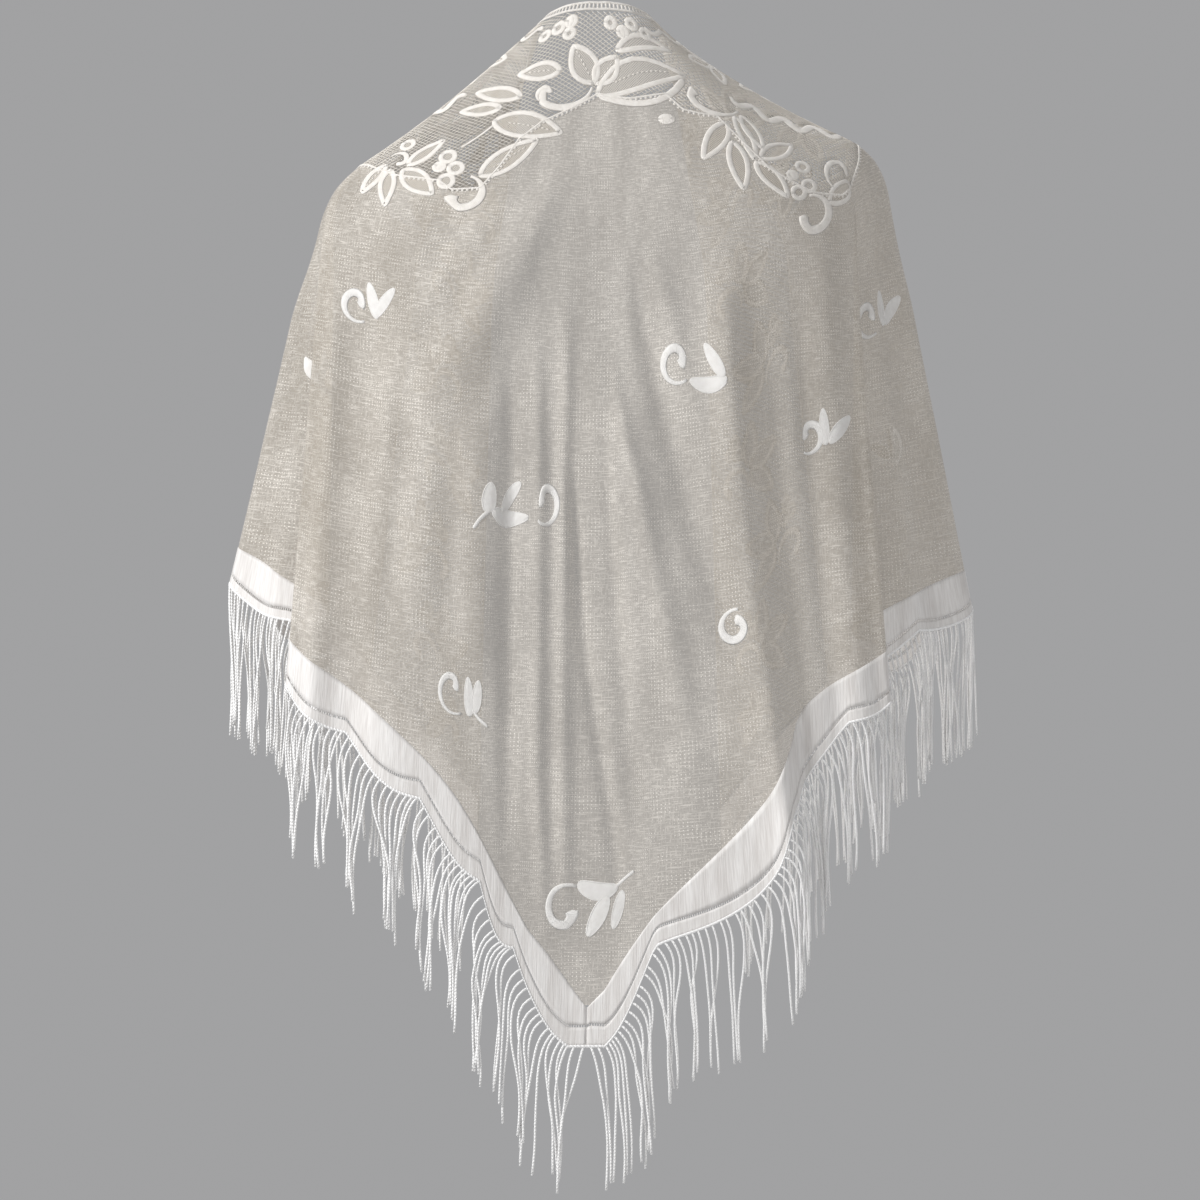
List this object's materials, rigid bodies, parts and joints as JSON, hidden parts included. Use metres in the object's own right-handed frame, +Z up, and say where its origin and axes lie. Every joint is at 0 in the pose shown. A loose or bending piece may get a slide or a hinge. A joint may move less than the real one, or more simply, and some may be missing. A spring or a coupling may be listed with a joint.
{
  "type": "lace shawl",
  "caption": "Sheer triangular shawl worn over the shoulders, with a lace yoke and fronts, a dense scalloped border and a long fringe round the hem.",
  "frame": {"origin": "midway between the wearer's shoulders at shoulder height, where the worn cloth is held up", "axes": "+Z up, +Y towards the wearer's back, where the tip hangs, +X towards the wearer's left arm"},
  "size_m": [0.6732, 0.366, 1.041],
  "materials": {
    "edging": "matt ribbed knit edging, off-white",
    "lace": "matt floral lace on an open diamond net, off-white",
    "field": "sheer woven ground with fine slub flecks, off-white",
    "border": "dense satin-like woven band with a thin sheer line, white",
    "fringe": "smooth thin cords with a slight sheen, white"
  },
  "bodies": {
    "root": {"neck_edging": "edging", "lace_yoke": "lace", "lace_front_left": "lace", "lace_front_right": "lace", "field_back": "field", "field_wing_left": "field", "field_wing_right": "field", "border_back_left": "border", "border_back_right": "border", "border_wing_left": "border", "border_wing_right": "border", "fringe_back_left": "fringe", "fringe_back_right": "fringe", "fringe_wing_left": "fringe", "fringe_wing_right": "fringe"}
  },
  "joints": []
}
